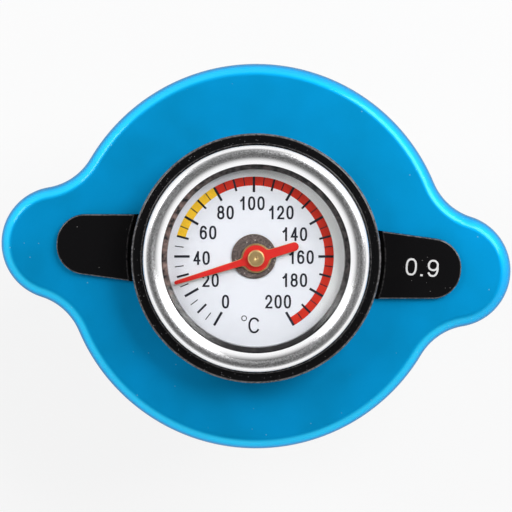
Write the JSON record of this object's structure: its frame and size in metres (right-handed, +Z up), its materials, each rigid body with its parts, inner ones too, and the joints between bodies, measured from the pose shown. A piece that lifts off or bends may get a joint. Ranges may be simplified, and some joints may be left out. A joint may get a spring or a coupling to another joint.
{
  "type": "radiator cap thermometer",
  "caption": "Bayonet radiator cap with a lobed anodised cover, a round dial thermometer in a raised collar, a sprung pressure valve, a vacuum valve and a probe.",
  "frame": {"origin": "on the cap's axis, in the plane of the filler neck's rim, which the upper gasket's underside rests on", "axes": "+Z up along the cap's axis towards the dial, +X along the right-hand ear"},
  "size_m": [0.0848, 0.064, 0.0506],
  "materials": {
    "blue_anodised": "satin blue anodised, with fine dust and small scratches",
    "black_gloss": "glossy black, lightly dusty",
    "zinc_steel": "zinc-plated pressed sheet",
    "stainless": "drawn stainless steel",
    "bezel_steel": "bright rolled bezel with a worn grey crown",
    "brass": "turned brass, slightly dull",
    "red_fibre": "pressed fibre washer",
    "bimetal": "rolled bimetal strip",
    "glass": "clear flat glass",
    "dial_white": "satin white enamel with printed scale",
    "sintered_bush": "dark sintered bronze, speckled",
    "pointer_red": "glossy red paint",
    "spring_steel": "bright spring steel",
    "rubber": "matt black moulded rubber"
  },
  "bodies": {
    "cap": {"cover": "blue_anodised", "ear_pad_left": "black_gloss", "ear_pad_right": "black_gloss", "collar": "black_gloss", "drive_pins": "spring_steel", "shell": "zinc_steel", "lock_nut": "brass", "sealing_washer": "red_fibre", "shank": "brass", "probe_tube": "stainless", "probe_plug": "stainless", "bimetal_helix": "bimetal", "spindle_guide": "brass", "gauge_case": "stainless", "bezel": "bezel_steel", "lens": "glass", "lens_gasket": "black_gloss", "dial_plate": "dial_white", "dial_bush": "sintered_bush", "retaining_ring": "spring_steel"},
    "needle": {"spindle": "stainless", "pointer": "pointer_red", "pointer_boss": "brass"},
    "valve_stack": {"spring_disc": "spring_steel", "upper_gasket": "rubber", "spring_cup": "zinc_steel", "main_spring": "spring_steel"},
    "pressure_valve": {"valve_plate": "zinc_steel", "pressure_seal": "rubber", "stem_oring": "rubber", "vacuum_spring": "spring_steel"},
    "vacuum_valve": {"vacuum_poppet": "brass", "vacuum_seal": "rubber", "spring_keeper": "spring_steel"}
  },
  "joints": [
    {"name": "pointer_turn", "type": "hinge", "parent": "cap", "child": "needle", "pos_m": [0, 0, 0.0157], "axis": [0, 0, 1], "range_deg": [-257, 43], "stiffness_Nm_per_rad": 0.0001, "deforming": ["bimetal_helix"]},
    {"name": "valve_swivel", "type": "hinge", "parent": "cap", "child": "valve_stack", "pos_m": [0, 0, 0], "axis": [0, 0, 1], "continuous": true},
    {"name": "pressure_lift", "type": "slide", "parent": "valve_stack", "child": "pressure_valve", "axis": [0, 0, 1], "range_m": [0, 0.0035], "stiffness_N_per_m": 8000, "springref_m": -0.0085, "deforming": ["main_spring"]},
    {"name": "vacuum_drop", "type": "slide", "parent": "pressure_valve", "child": "vacuum_valve", "axis": [0, 0, -1], "range_m": [0, 0.0015], "stiffness_N_per_m": 100, "springref_m": -0.002, "deforming": ["vacuum_spring"]}
  ]
}
